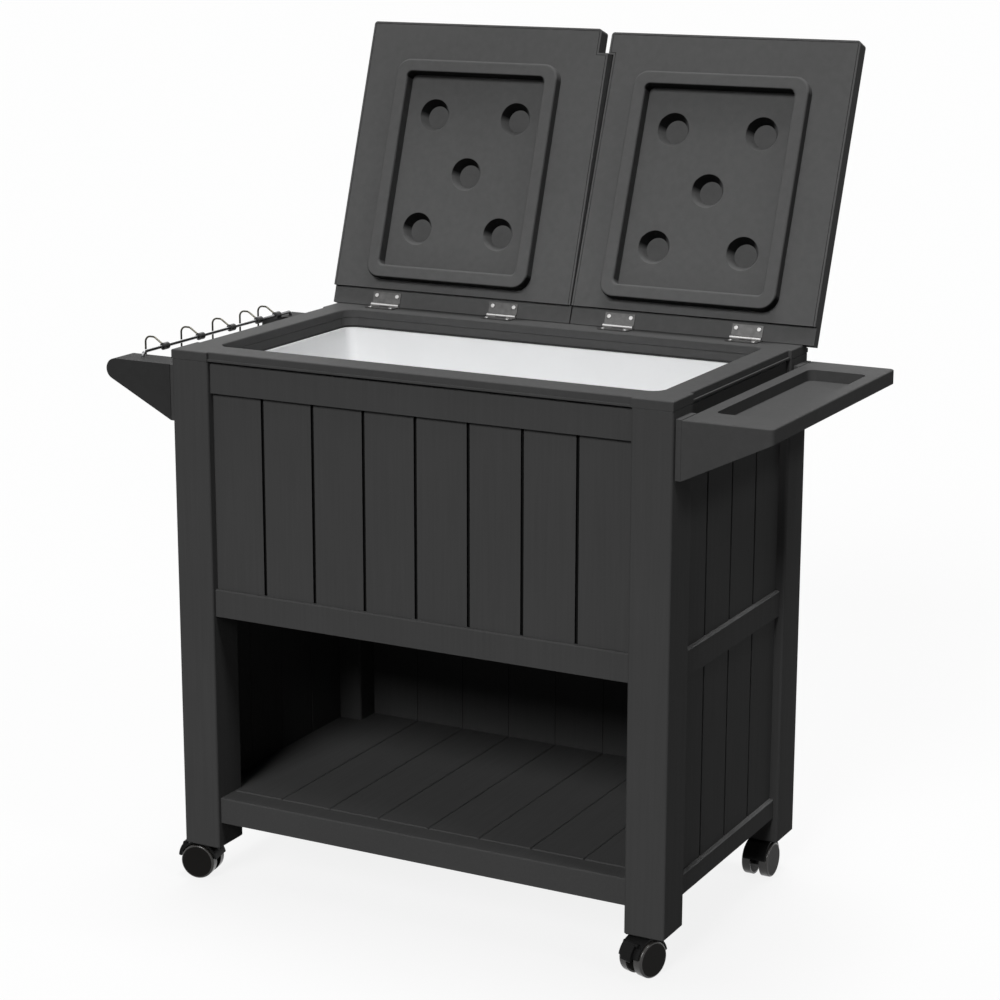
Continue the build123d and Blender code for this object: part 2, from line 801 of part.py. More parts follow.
def hinge_plane(hinge_x, open_angle):
    """Return the plane across a hinge: x away from the pin along the leaf, y square to it."""
    turn = radians(open_angle)
    along = (0, -cos(turn), sin(turn))
    return Plane((hinge_x, pin_y, pin_z), x_dir=along, z_dir=(-1, 0, 0))


half_hinge = hinge_length / 2
half_middle = middle_knuckle / 2
tab_reach = knuckle_radius + 2 * hinge_gap

with BuildPart() as rim_hinge_leaves:
    for hinges in lid_hinges.values():
        for hinge_x in hinges:
            across = hinge_plane(hinge_x, 0)
            plate, knuckle = hinge_sections(across, -pin_height, tab_reach)
            extrude(plate, amount=half_hinge, both=True)
            extrude(knuckle, amount=half_hinge, both=True)
            gap_length = half_middle + knuckle_gap
            with BuildSketch(across) as gap:
                rectangle((-tab_reach, -pin_height), (tab_reach - hinge_gap, tab_reach))
            extrude(amount=gap_length, both=True, mode=Mode.SUBTRACT)
    with BuildSketch(Plane.XY.offset(rim_height)):
        with Locations(*rim_screw_places):
            Circle(screw_radius + screw_clearance)
    extrude(amount=leaf_thickness, mode=Mode.SUBTRACT)
finish(rim_hinge_leaves, "rim_hinge_leaves")

with BuildPart() as hinge_pins:
    for hinges in lid_hinges.values():
        for hinge_x in hinges:
            with BuildSketch(hinge_plane(hinge_x, 0)):
                Circle(pin_radius)
            extrude(amount=half_hinge, both=True)
finish(hinge_pins, "hinge_pins")


def screws(plane, places):
    """Add pan-head screws to the part in hand, seated on a plane."""
    with BuildSketch(plane) as heads:
        with Locations(*places):
            Circle(screw_head_radius)
    extrude(heads.sketch, amount=screw_head_height)
    with BuildSketch(plane) as shanks:
        with Locations(*places):
            Circle(screw_radius)
    extrude(shanks.sketch, amount=-screw_length)


with BuildPart() as rim_hinge_screws:
    screws(Plane.XY.offset(rim_height + leaf_thickness), rim_screw_places)
finish(rim_hinge_screws, "rim_hinge_screws")


# Lids are drawn in their own plane: x across the cabinet, y from the pin back from the front
def lid_plane(open_angle, level):
    """Return a plane square to an open lid, at a level from the hinge pin's axis."""
    turn = radians(open_angle)
    return Plane((0, pin_y, pin_z), x_dir=(1, 0, 0), z_dir=(0, sin(turn), cos(turn))).offset(level)


# The seam lies beside the middle; at its front the left lid has a finger notch for a tab
lid_sides = {
    "left": (left_x - lid_overhang + lid_shift, lid_mid_x + seam_step),
    "right": (lid_mid_x + seam_step + seam_gap, right_x + lid_overhang + lid_shift),
}
ring_places = {"left": lid_mid_x - ring_offset, "right": lid_mid_x + ring_offset}
lid_angles = {"left": left_lid_angle, "right": right_lid_angle}
ring_rear = pin_y - mouth_rear_y + ring_clearance
ring_front = lid_length - ring_front_margin
notch_start = lid_length - notch_length
pocket_taper = degrees(atan2(pocket_radius - pocket_floor_radius, pocket_depth))


def lid_outline(side, plane, rear, inset):
    """Return a lid's plan from the front edge back to a rear edge, drawn in by an inset."""
    low, high = lid_sides[side]
    with BuildSketch(plane) as outline:
        rectangle((low, -lid_length), (high, rear))
        if side == "left":
            rectangle((high - notch_width, -lid_length), (high, -notch_start), mode=Mode.SUBTRACT)
        else:
            rectangle((low - notch_tab, -lid_length), (low, -notch_start - notch_gap))
        if inset > 0:
            offset(amount=-inset, kind=Kind.INTERSECTION, mode=Mode.REPLACE)
    return outline.sketch


def pocket_circles(plane, middle, radius):
    """Return the five circles of the lid's pockets: one in the middle and four around it."""
    with BuildSketch(plane) as circles:
        with Locations(middle):
            Circle(radius)
            with GridLocations(2 * pocket_pitch_across, 2 * pocket_pitch_along, 2, 2):
                Circle(radius)
    return circles.sketch


def hinge_screw_holes(plane, side):
    """Return the screw holes of a lid's hinges."""
    with BuildSketch(plane) as holes:
        for hinge_x in lid_hinges[side]:
            with Locations((hinge_x, -screw_distance)):
                with GridLocations(screw_pitch, 0, 2, 1):
                    Circle(screw_radius + screw_clearance)
    return holes.sketch


for side, open_angle in lid_angles.items():
    strip_plane = lid_plane(open_angle, strip_level)
    face_plane = lid_plane(open_angle, face_level)
    sheet_plane = lid_plane(open_angle, sheet_level)
    outwards = Axis((0, 0, 0), strip_plane.z_dir)

    with BuildPart() as lid_shell:
        extrude(lid_outline(side, strip_plane, lid_back, 0), amount=lid_shell_height)
        extrude(lid_outline(side, face_plane, -hinge_strip, 0), amount=strip_level - face_level)
        front_corners = lid_shell.edges().filter_by(outwards).sort_by(Axis.Z)[-2:]
        fillet(front_corners, radius=lid_corner_radius)
        fillet(lid_shell.faces().sort_by(outwards)[-1].edges(), radius=lid_edge_radius)
        core = lid_outline(side, strip_plane.offset(lid_wall), lid_back, lid_wall)
        extrude(core, amount=lid_shell_height - 2 * lid_wall, mode=Mode.SUBTRACT)
        panel_room = lid_outline(side, face_plane, lid_wall - hinge_strip, lid_wall)
        extrude(panel_room, amount=strip_level - face_level, mode=Mode.SUBTRACT)
        underside = lid_outline(side, strip_plane, lid_ledge - hinge_strip, lid_wall + lid_ledge)
        extrude(underside, amount=lid_wall, mode=Mode.SUBTRACT)
        extrude(hinge_screw_holes(strip_plane, side), amount=lid_wall, mode=Mode.SUBTRACT)
    finish(lid_shell, f"{side}_lid_shell")

    ring_low = ring_places[side] - ring_width / 2
    ring_high = ring_places[side] + ring_width / 2
    ring_middle = (ring_places[side], -(ring_rear + ring_front) / 2)
    recess_low = (ring_low + ring_band, ring_band - ring_front)
    recess_high = (ring_high - ring_band, -ring_rear - ring_band)
    floor_plane = face_plane.offset(recess_sink)
    panel_inset = lid_wall + panel_gap
    with BuildPart() as lid_panel:
        plate = lid_outline(side, face_plane, panel_inset - hinge_strip, panel_inset)
        extrude(plate, amount=strip_level - face_level)
        back_inset = panel_inset + lid_wall
        back = lid_outline(side, sheet_plane, panel_inset - hinge_strip, back_inset)
        extrude(back, amount=strip_level - sheet_level, mode=Mode.SUBTRACT)
        with BuildSketch(face_plane):
            rounded_rectangle((ring_low, -ring_front), (ring_high, -ring_rear), ring_radius)
        extrude(amount=-ring_height)
        with BuildSketch(sheet_plane):
            rounded_rectangle(
                (recess_low[0] - panel_sheet, recess_low[1] - panel_sheet),
                (recess_high[0] + panel_sheet, recess_high[1] + panel_sheet),
                recess_radius + panel_sheet,
            )
        extrude(amount=recess_sink)
        with BuildSketch(floor_plane):
            rounded_rectangle(recess_low, recess_high, recess_radius)
        extrude(amount=-(ring_height + recess_sink), mode=Mode.SUBTRACT)
        fillet(lid_panel.faces().sort_by(outwards)[0].edges(), radius=ring_edge_radius)
        cups = pocket_circles(sheet_plane.offset(recess_sink), ring_middle, pocket_radius + panel_sheet)
        extrude(cups, amount=pocket_depth, taper=pocket_taper)
        pockets = pocket_circles(floor_plane, ring_middle, pocket_radius)
        extrude(pockets, amount=pocket_depth, taper=pocket_taper, mode=Mode.SUBTRACT)
        circles = lid_panel.edges().filter_by(GeomType.CIRCLE)
        mouths = circles.filter_by(lambda edge: abs(edge.radius - pocket_radius) < panel_sheet / 2)
        fillet(mouths, radius=pocket_edge_radius)
    finish(lid_panel, f"{side}_lid_panel")

    with BuildPart() as lid_foam:
        foam_plane = strip_plane.offset(foam_clearance)
        foam_inset = lid_wall + lid_ledge + foam_clearance
        filling = lid_outline(side, foam_plane, lid_ledge - hinge_strip, foam_inset)
        extrude(filling, amount=skin_level - strip_level - 2 * foam_clearance)
        cup_room = pocket_circles(foam_plane, ring_middle, pocket_radius + panel_sheet)
        extrude(cup_room, amount=lid_shell_height, mode=Mode.SUBTRACT)
    finish(lid_foam, f"{side}_lid_foam")

    with BuildPart() as lid_hinge_leaves:
        for hinge_x in lid_hinges[side]:
            across = hinge_plane(hinge_x, open_angle)
            plate, knuckle = hinge_sections(across, strip_level - leaf_thickness, tab_reach)
            extrude(plate, amount=half_hinge, both=True)
            extrude(knuckle, amount=half_middle, both=True)
        extrude(hinge_screw_holes(strip_plane, side), amount=-leaf_thickness, mode=Mode.SUBTRACT)
    finish(lid_hinge_leaves, f"{side}_lid_hinge_leaves")

    with BuildPart() as lid_hinge_screws:
        leaf_face = -lid_plane(open_angle, strip_level - leaf_thickness)
        places = [
            (hinge_x + hand * screw_pitch / 2, screw_distance)
            for hinge_x in lid_hinges[side]
            for hand in (-1, 1)
        ]
        screws(leaf_face, places)
    finish(lid_hinge_screws, f"{side}_lid_hinge_screws")

# Casters: sockets in the leg bottoms, hooded twin-wheel casters that swivel in them
with BuildPart() as caster_sockets:
    for place in leg_places.values():
        filling = cut_leg_section(place, leg_bottom, leg_wall + socket_clearance)
        extrude(filling, amount=socket_height)
    with BuildSketch(Plane.XY.offset(leg_bottom)):
        with Locations(*leg_places.values()):
            Circle(stem_radius + axle_clearance)
    extrude(amount=socket_height, mode=Mode.SUBTRACT)
finish(caster_sockets, "caster_sockets")

lever_radius = hood_outer + lever_hub_radius + lever_gap
lever_turn = radians(lever_angle)
lever_place = (
    caster_trail + lever_radius * cos(lever_turn),
    wheel_radius + lever_radius * sin(lever_turn),
)
lug_root = (
    caster_trail + (hood_outer - hood_thickness / 2) * cos(lever_turn),
    wheel_radius + (hood_outer - hood_thickness / 2) * sin(lever_turn),
)
wheel_start = web_thickness / 2 + wheel_gap
boss_top = caster_height - caster_gap
stem_bottom = boss_top - stem_boss_height


def axle_sector(plane, radii, angles):
    """Return a band round the caster's axle, between two radii and two angles."""
    axle_place = (caster_trail, wheel_radius)
    with BuildSketch(plane) as band:
        with BuildLine():
            inner_arc = CenterArc(axle_place, radii[0], angles[0], angles[1] - angles[0])
            outer_arc = CenterArc(axle_place, radii[1], angles[0], angles[1] - angles[0])
            Line(outer_arc @ 0, inner_arc @ 0)
            Line(outer_arc @ 1, inner_arc @ 1)
        make_face()
    return band.sketch


for corner, place in leg_places.items():
    turn = radians(caster_turns[corner])
    trail_dir = Vector(sin(turn), -cos(turn), 0)
    axle_dir = Vector(cos(turn), sin(turn), 0)
    side_plane = Plane((place[0], place[1], 0), x_dir=trail_dir, z_dir=-axle_dir)
    wheel_middle = Vector(place[0], place[1], wheel_radius) + trail_dir * caster_trail

    with BuildPart() as housing:
        hood_angles = (hood_start, 180 - hood_start)
        hood = axle_sector(side_plane, (hood_inner, hood_outer), hood_angles)
        extrude(hood, amount=hood_width / 2, both=True)
        web = axle_sector(side_plane, (hub_radius / 2, hood_outer), hood_angles)
        extrude(web, amount=web_thickness / 2, both=True)
        with BuildSketch(side_plane):
            with Locations((caster_trail, wheel_radius)):
                Circle(hub_radius)
        extrude(amount=web_thickness / 2, both=True)
        with BuildSketch(Plane.XY.offset(boss_top)):
            with Locations(place):
                Circle(web_thickness / 2)
        extrude(amount=-stem_boss_height)
        with BuildSketch(Plane.XY.offset(boss_top)):
            with Locations(place):
                Circle(stem_collar_radius)
        extrude(amount=-stem_collar_height)
        if corner in braked_casters:
            for hand in (-1, 1):
                lug_middle = hand * (lever_width / 2 + lever_gap + lug_width / 2)
                with BuildSketch(side_plane.offset(lug_middle)):
                    with Locations(lever_place):
                        Circle(lever_hub_radius)
                    with Locations(lug_root):
                        Circle(hood_thickness / 2)
                    make_hull()
                extrude(amount=lug_width / 2, both=True)
            with BuildSketch(side_plane):
                with Locations(lever_place):
                    Circle(lever_pin_radius + axle_clearance)
            extrude(amount=hood_width / 2, both=True, mode=Mode.SUBTRACT)
        with BuildSketch(side_plane):
            with Locations((caster_trail, wheel_radius)):
                Circle(axle_radius + axle_clearance)
        extrude(amount=web_thickness / 2, both=True, mode=Mode.SUBTRACT)
        with BuildSketch(Plane.XY.offset(boss_top)):
            with Locations(place):
                Circle(stem_radius + axle_clearance)
        extrude(amount=-stem_boss_height, mode=Mode.SUBTRACT)
    finish(housing, f"{corner}_caster_housing")

    with BuildPart() as steel:
        with BuildSketch(side_plane):
            with Locations((caster_trail, wheel_radius)):
                Circle(axle_radius)
        extrude(amount=wheel_start + wheel_width - wheel_cap - caster_gap, both=True)
        with BuildSketch(Plane.XY.offset(stem_bottom)):
            with Locations(place):
                Circle(stem_radius)
        extrude(amount=stem_length)
    finish(steel, f"{corner}_caster_steel")

    for name, hand in (("inner", -1), ("outer", 1)):
        outwards = axle_dir * hand
        wheel_plane = Plane(wheel_middle, x_dir=outwards, z_dir=outwards.cross(Vector(0, 0, 1)))
        wheel_end = wheel_start + wheel_width
        with BuildPart() as wheel:
            with BuildSketch(wheel_plane) as wheel_section:
                rectangle((wheel_start, 0), (wheel_end, wheel_radius))
                bore = (wheel_end - wheel_cap, axle_radius + axle_clearance)
                rectangle((wheel_start, 0), bore, mode=Mode.SUBTRACT)
                rim_corner = wheel_section.vertices().sort_by_distance((wheel_end, wheel_radius, 0))[0]
                fillet(rim_corner, radius=wheel_edge)
            revolve(axis=Axis(wheel_middle, outwards))
        finish(wheel, f"{corner}_caster_{name}_wheel")

    if corner in braked_casters:
        with BuildPart() as lever:
            lever_radii = (hood_outer + lever_gap, lever_outer)
            band = axle_sector(side_plane, lever_radii, (lever_tip_angle, lever_angle))
            extrude(band, amount=lever_width / 2, both=True)
            tip_edges = lever.edges().filter_by(Axis((0, 0, 0), axle_dir)).sort_by(Axis.Z)[:2]
            fillet(tip_edges, radius=lever_tip_radius)
            with BuildSketch(side_plane):
                with Locations(lever_place):
                    Circle(lever_hub_radius)
            extrude(amount=lever_width / 2, both=True)
            with BuildSketch(side_plane):
                with Locations(lever_place):
                    Circle(lever_pin_radius)
            extrude(amount=lever_width / 2 + lever_gap + lug_width, both=True)
        finish(lever, f"{corner}_brake_lever")
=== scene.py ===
"""Looks of the patio cooler cart, dressed around its solids.

Lengths are in metres and the frame is the model's own: +Z up, the front towards -Y.
"""
import math

import bmesh
import bpy
from mathutils import Matrix, Vector


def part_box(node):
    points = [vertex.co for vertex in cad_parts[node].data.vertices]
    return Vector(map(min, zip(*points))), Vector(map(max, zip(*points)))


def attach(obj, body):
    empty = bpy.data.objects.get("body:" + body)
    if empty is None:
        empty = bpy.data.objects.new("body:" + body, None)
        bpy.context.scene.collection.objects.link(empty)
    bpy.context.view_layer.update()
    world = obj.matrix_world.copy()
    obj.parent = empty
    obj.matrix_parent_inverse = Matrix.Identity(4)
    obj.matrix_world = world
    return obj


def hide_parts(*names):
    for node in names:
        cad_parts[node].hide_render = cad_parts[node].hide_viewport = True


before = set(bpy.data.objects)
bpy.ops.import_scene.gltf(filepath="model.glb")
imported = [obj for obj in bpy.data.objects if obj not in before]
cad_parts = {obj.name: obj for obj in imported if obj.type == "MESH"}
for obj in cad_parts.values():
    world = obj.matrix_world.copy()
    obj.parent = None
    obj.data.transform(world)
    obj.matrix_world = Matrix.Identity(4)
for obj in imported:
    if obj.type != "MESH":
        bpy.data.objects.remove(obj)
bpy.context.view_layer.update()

CORNERS = ("front_left", "front_right", "rear_left", "rear_right")
BRAKED_CORNERS = ("front_left", "front_right")
SIDES = ("left", "right")
HOOK_NUMBERS = range(1, 6)

# Camera
CAMERA_PLACE = (1.74076, -3.3560, 1.5174)
CAMERA_YAW = math.radians(27.824)
CAMERA_DROP = math.radians(13.903)
CAMERA_ROLL = math.radians(0.114)
CAMERA_LENS = 92.134
CAMERA_REACH = 200.0
SENSOR_WIDTH = 36.0

# Lamps: strength, softness in degrees, and the direction that the light comes from
LAMPS = {
    "key": (2.45, 24, (0.0, 0.15, 1.0)),
    "front": (1.7, 20, (0.03, -0.8, 0.55)),
    "right": (0.33, 10, (0.75, -0.15, 0.65)),
    "back": (1.4, 60, (-0.8, 0.8, 0.3)),
}
AMBIENT = 0.02

# Floor: its matte tone, and the glow that makes it look white
FLOOR_SIZE = 80.0
FLOOR_TONE = 0.10
FLOOR_GLOW = 0.86

# Charcoal plastics: base tones, how far the grain strays from them, and their gloss; the brackets'
# darker tone is painted shade
CHARCOAL = 0.081
LID_CHARCOAL = 0.108
BRACKET_SHADED_CHARCOAL = 0.050
TONE_SPREAD = 0.18
PLASTIC_GLOSS = 0.006

# Grain of the plastics in waves per metre along each axis
BOARD_GRAIN = (260.0, 260.0, 7.0)
SHELF_GRAIN = (260.0, 7.0, 260.0)
EVEN_GRAIN = (90.0, 90.0, 90.0)

# Grooves between boards: their depth behind the rails' face, and what painted shade in them leaves of
# the tone
GROOVE_START = 0.0070
GROOVE_END = 0.0109
GROOVE_PAINTED_SHADE = 0.12

# Ledges of the side panels' rails: how far up they face, and the pale tone of the painted highlight
# on them
LEDGE_FACING = 0.3
LEDGE_PAINTED_LIGHT = 0.22

# Painted shade on the walls of the lid panels that face down the open lids: the way they face, from
# where and how fast they darken, and what the painted shade leaves of the tone
DOWN_THE_LID = (0.3, -0.304, -0.904)
SHELTER_START = 0.15
SHELTER_GAIN = 3.0
SHELTER_PAINTED_SHADE = 0.08

# Black plastic of the casters, the paler tone of the painted highlight on the wheels' shoulders, and
# how far from a wheel's middle its disc ends
CASTER_BLACK = 0.012
SHOULDER_PAINTED_HIGHLIGHT = 0.035
WHEEL_WARMTH = 0.06
WHEEL_SHOULDER = 0.0252

# Hooks: how far round the bar their black clips reach
CLIP_RADIUS = 0.0058

# Hinges: places along the pin, how far the lids stand open, and the knuckles' reach
HINGES = {"left": (-0.320, -0.109), "right": (0.093, 0.304)}
LID_ANGLES = {"left": math.radians(108.6), "right": math.radians(110.7)}
KNUCKLE_REACH = 0.0034
LEAF_TOP = 0.0019
ZINC_WARMTH = 0.01

# Hinge screws: their places, pan heads and cross recesses, and how each is turned
SCREW_HALF_PITCH = 0.0185
SCREW_FROM_PIN = 0.015
SCREW_SIDES = 28
SCREW_RADIUS = 0.0034
SCREW_HEIGHT = 0.0012
CROWN_SHARE = 0.6
CROWN_STEPS = 5
CROSS_LENGTH = 0.0037
CROSS_WIDTH = 0.0009
CROSS_DEPTH = 0.0008
TWIST_PER_METRE = 40.0
LID_TWIST = 1.0


class Value:
    """A shader socket that takes part in sums and products, each of which adds a Math node."""

    def __init__(self, finish, socket):
        self.finish = finish
        self.socket = socket

    def combine(self, operation, first, second):
        return self.finish.node("ShaderNodeMath", {"operation": operation}, {0: first, 1: second})

    def __add__(self, other):
        return self.combine("ADD", self, other)

    def __radd__(self, other):
        return self.combine("ADD", other, self)

    def __sub__(self, other):
        return self.combine("SUBTRACT", self, other)

    def __rsub__(self, other):
        return self.combine("SUBTRACT", other, self)

    def __mul__(self, other):
        return self.combine("MULTIPLY", self, other)

    def __rmul__(self, other):
        return self.combine("MULTIPLY", other, self)

    def __lt__(self, other):
        return self.combine("LESS_THAN", self, other)

    def __gt__(self, other):
        return self.combine("GREATER_THAN", self, other)


class Finish:
    """A material's node tree while it is being put together."""

    def __init__(self, name):
        self.material = bpy.data.materials.new(name)
        self.start(self.material)

    def start(self, owner):
        owner.use_nodes = True
        self.tree = owner.node_tree
        self.tree.nodes.clear()

    def node(self, kind, settings, inputs, output=0):
        """Add a node: its settings first, then the values or links of its sockets."""
        made = self.tree.nodes.new(kind)
        for name, setting in settings.items():
            setattr(made, name, setting)
        for name, value in inputs.items():
            if isinstance(value, Value):
                self.tree.links.new(value.socket, made.inputs[name])
            else:
                made.inputs[name].default_value = value
        return Value(self, made.outputs[output]) if made.outputs else None

    def own(self, kind="Object"):
        """The object's own coordinates, or the way its surface faces in them."""
        return self.node("ShaderNodeTexCoord", {}, {}, output=kind)

    def place(self, stretch=(1.0, 1.0, 1.0)):
        """The object's own coordinates, stretched along its axes."""
        return self.node("ShaderNodeMapping", {}, {"Vector": self.own(), "Scale": stretch})

    def part(self, vector, axis):
        """One coordinate of a vector."""
        return self.node("ShaderNodeSeparateXYZ", {}, {"Vector": vector}, output=axis)

    def vectors(self, operation, first, second, output=0):
        """A sum, product or distance of two vectors."""
        return self.node(
            "ShaderNodeVectorMath", {"operation": operation}, {0: first, 1: second}, output,
        )

    def noise(self, place, scale, detail=3.0):
        """Smooth noise from 0 to 1."""
        return self.node(
            "ShaderNodeTexNoise", {},
            {"Vector": place, "Scale": scale, "Detail": detail, "Roughness": 0.55},
        )

    def colour_mix(self, amount, first, second):
        """A colour between two others."""
        return self.node(
            "ShaderNodeMix", {"data_type": "RGBA"}, {0: amount, 6: first, 7: second}, output=2,
        )

    def bump(self, height, strength, distance):
        """Fine relief of the surface."""
        return self.node(
            "ShaderNodeBump", {},
            {"Height": height, "Strength": strength, "Distance": distance}, output="Normal",
        )

    def close(self, inputs):
        """Finish with one principled shader and return the material."""
        shader = self.node("ShaderNodeBsdfPrincipled", {}, inputs)
        self.node("ShaderNodeOutputMaterial", {}, {"Surface": shader})
        return self.material


class WorldFinish(Finish):
    """The world's node tree."""

    def __init__(self, world):
        self.start(world)


def grey(level, warmth=0.0):
    """A nearly neutral colour."""
    return (level * (1 + warmth), level, level * (1 - warmth), 1.0)


def moulded_plastic(name, level, stretch, pebble=0.35, groove=None, painted_ledge_light=None, shade_facing=None):
    """Matte charcoal plastic with a faint drawn-out grain and a fine moulded texture.

    A boarded panel's grooves, told by their depth from the rails' face, get painted shade.
    Ledges, which face up, get a painted highlight, and walls that face one given way get painted
    shade.
    """
    finish = Finish(name)
    streaks = finish.noise(finish.place(stretch), 1.0, detail=4.0)
    cloud = finish.noise(finish.place(), 6.0)
    pebbles = finish.noise(finish.place(), 900.0, detail=2.0)
    colour = finish.colour_mix(
        streaks * 0.6 + cloud * 0.4, grey(level * (1 - TONE_SPREAD)), grey(level * (1 + TONE_SPREAD)),
    )
    # Painted shade: a dark tone in the grooves between boards, where shade falls.
    if groove:
        axis, face, inwards = groove
        depth = (finish.part(finish.own(), axis) - face) * inwards
        painted_shade = (depth > GROOVE_START) * (depth < GROOVE_END)
        colour = finish.colour_mix(painted_shade, colour, grey(level * GROOVE_PAINTED_SHADE))
    # Painted highlight: upward-facing ledges are made paler, as where light falls on them.
    if painted_ledge_light:
        upward = finish.part(finish.own("Normal"), "Z") > LEDGE_FACING
        colour = finish.colour_mix(upward * (cloud * 0.3 + 0.7), colour, grey(painted_ledge_light))
    # Painted shade: walls of the lid panels that face down the open lid are darkened, as where shade
    # falls.
    if shade_facing:
        turned = finish.vectors("DOT_PRODUCT", finish.own("Normal"), shade_facing, "Value")
        painted_shade = (turned - SHELTER_START) * SHELTER_GAIN
        colour = finish.colour_mix(painted_shade, colour, grey(level * SHELTER_PAINTED_SHADE))
    return finish.close({
        "Base Color": colour,
        "Roughness": cloud * 0.1 + pebbles * 0.1 + 0.48,
        "Specular IOR Level": PLASTIC_GLOSS,
        "Normal": finish.bump(pebbles * 0.7 + streaks * 0.3, pebble, 0.0003),
    })


def panel_finish(node, axis, end):
    """Grooved boards of the panel whose rails face the low or high end of an axis, with painted shade
    in the grooves.
    """
    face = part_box(node)[end]["XYZ".index(axis)]
    return moulded_plastic(
        f"{node}_boards", CHARCOAL, BOARD_GRAIN, groove=(axis, face, 1 - 2 * end),
    )


def white_liner():
    """Smooth white plastic of the tub."""
    finish = Finish("white_liner")
    cloud = finish.noise(finish.place(), 8.0)
    fine = finish.noise(finish.place(), 400.0)
    return finish.close({
        "Base Color": finish.colour_mix(cloud, (0.88, 0.885, 0.89, 1.0), (0.92, 0.925, 0.93, 1.0)),
        "Roughness": cloud * 0.1 + 0.32,
        "Normal": finish.bump(fine, 0.08, 0.0004),
    })


def black_plastic():
    """Black, slightly scuffed plastic of the caster housings."""
    finish = Finish("caster_black")
    cloud = finish.noise(finish.place(), 30.0)
    scuffs = finish.noise(finish.place(), 500.0, detail=4.0)
    return finish.close({
        "Base Color": finish.colour_mix(cloud, grey(CASTER_BLACK * 0.8), grey(CASTER_BLACK * 1.3)),
        "Roughness": scuffs * 0.18 + 0.22,
        "Specular IOR Level": 0.06,
        "Normal": finish.bump(scuffs, 0.1, 0.0002),
    })


def wheel_finish(node):
    """Black wheel with a glossier tread and shoulder round its disc, which also carry a paler painted
    highlight.
    """
    low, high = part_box(node)
    middle = [(a + b) / 2 for a, b in zip(low, high)]
    finish = Finish(f"{node}_black")
    shoulder = finish.vectors("DISTANCE", finish.own(), middle, "Value") > WHEEL_SHOULDER
    scuffs = finish.noise(finish.place(), 500.0, detail=4.0)
    return finish.close({
        # Painted highlight: the shoulder round the disc is given a paler tone.
        "Base Color": finish.colour_mix(
            shoulder, grey(CASTER_BLACK, WHEEL_WARMTH), grey(SHOULDER_PAINTED_HIGHLIGHT, WHEEL_WARMTH),
        ),
        "Roughness": scuffs * 0.2 + 0.3,
        "Specular IOR Level": 0.05,
        "Coat Weight": shoulder * 0.8,
        "Coat Roughness": 0.2,
        "Normal": finish.bump(scuffs, 0.1, 0.0002),
    })


def zinc_plate(name, dull, bright, painted_knuckle_highlight=None):
    """Zinc-plated steel with a brushed grain and a mottled tone.

    A hinge leaf's knuckles, told by their distance from the pin, can get a painted highlight.
    """
    finish = Finish(name)
    brushed = finish.noise(finish.place((40.0, 900.0, 900.0)), 1.0, detail=4.0)
    spangle = finish.noise(finish.place(), 120.0)
    colour = finish.colour_mix(spangle, grey(dull, ZINC_WARMTH), grey(bright, ZINC_WARMTH))
    # Painted highlight: the knuckles round the pin are given a brighter tone.
    if painted_knuckle_highlight:
        across = finish.vectors("MULTIPLY", finish.own(), (0.0, 1.0, 1.0))
        knuckle = finish.vectors("DISTANCE", across, (0.0, pin_y, pin_z), "Value") < KNUCKLE_REACH
        colour = finish.colour_mix(knuckle, colour, grey(painted_knuckle_highlight, ZINC_WARMTH))
    return finish.close({
        "Base Color": colour,
        "Metallic": 1.0,
        "Roughness": brushed * 0.2 + 0.32,
        "Normal": finish.bump(brushed, 0.1, 0.0001),
    })


def bright_wire():
    """Drawn steel of the bar."""
    finish = Finish("bright_wire")
    drawn = finish.noise(finish.place((600.0, 30.0, 600.0)), 1.0)
    return finish.close({
        "Base Color": finish.colour_mix(drawn, (0.20, 0.20, 0.205, 1.0), (0.30, 0.30, 0.305, 1.0)),
        "Metallic": 1.0,
        "Roughness": drawn * 0.12 + 0.14,
    })


def hook_finish():
    """Dark steel wire with a black clip where the hook runs round the bar."""
    low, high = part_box("utensil_bar")
    bar_x = (low[0] + high[0]) / 2
    bar_z = high[2] - (high[0] - low[0]) / 2
    finish = Finish("hook_wire_and_clip")
    out = finish.part(finish.own(), "X") - bar_x
    up = finish.part(finish.own(), "Z") - bar_z
    clip = out * out + up * up < CLIP_RADIUS * CLIP_RADIUS
    drawn = finish.noise(finish.place((300.0, 300.0, 300.0)), 1.0)
    steel = finish.colour_mix(drawn, (0.04, 0.038, 0.03, 1.0), (0.09, 0.086, 0.07, 1.0))
    return finish.close({
        "Base Color": finish.colour_mix(clip, steel, grey(0.02)),
        "Metallic": 1.0 - clip,
        "Roughness": clip * 0.25 + drawn * 0.1 + 0.15,
    })


def black_rubber():
    """Dull rubber of the seal and the plug."""
    finish = Finish("black_rubber")
    fine = finish.noise(finish.place(), 700.0)
    return finish.close({
        "Base Color": finish.colour_mix(fine, grey(0.012), grey(0.025)),
        "Roughness": fine * 0.15 + 0.7,
        "Normal": finish.bump(fine, 0.2, 0.0002),
    })


def pale_foam():
    """Cellular foam of the insulation."""
    finish = Finish("pale_foam")
    cells = finish.node("ShaderNodeTexVoronoi", {}, {"Vector": finish.place(), "Scale": 320.0})
    return finish.close({
        "Base Color": finish.colour_mix(cells, (0.80, 0.77, 0.66, 1.0), (0.90, 0.88, 0.80, 1.0)),
        "Roughness": cells * 0.2 + 0.7,
        "Normal": finish.bump(cells, 0.4, 0.001),
    })


pin_low, pin_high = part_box("hinge_pins")
pin_y = (pin_low[1] + pin_high[1]) / 2
pin_z = (pin_low[2] + pin_high[2]) / 2

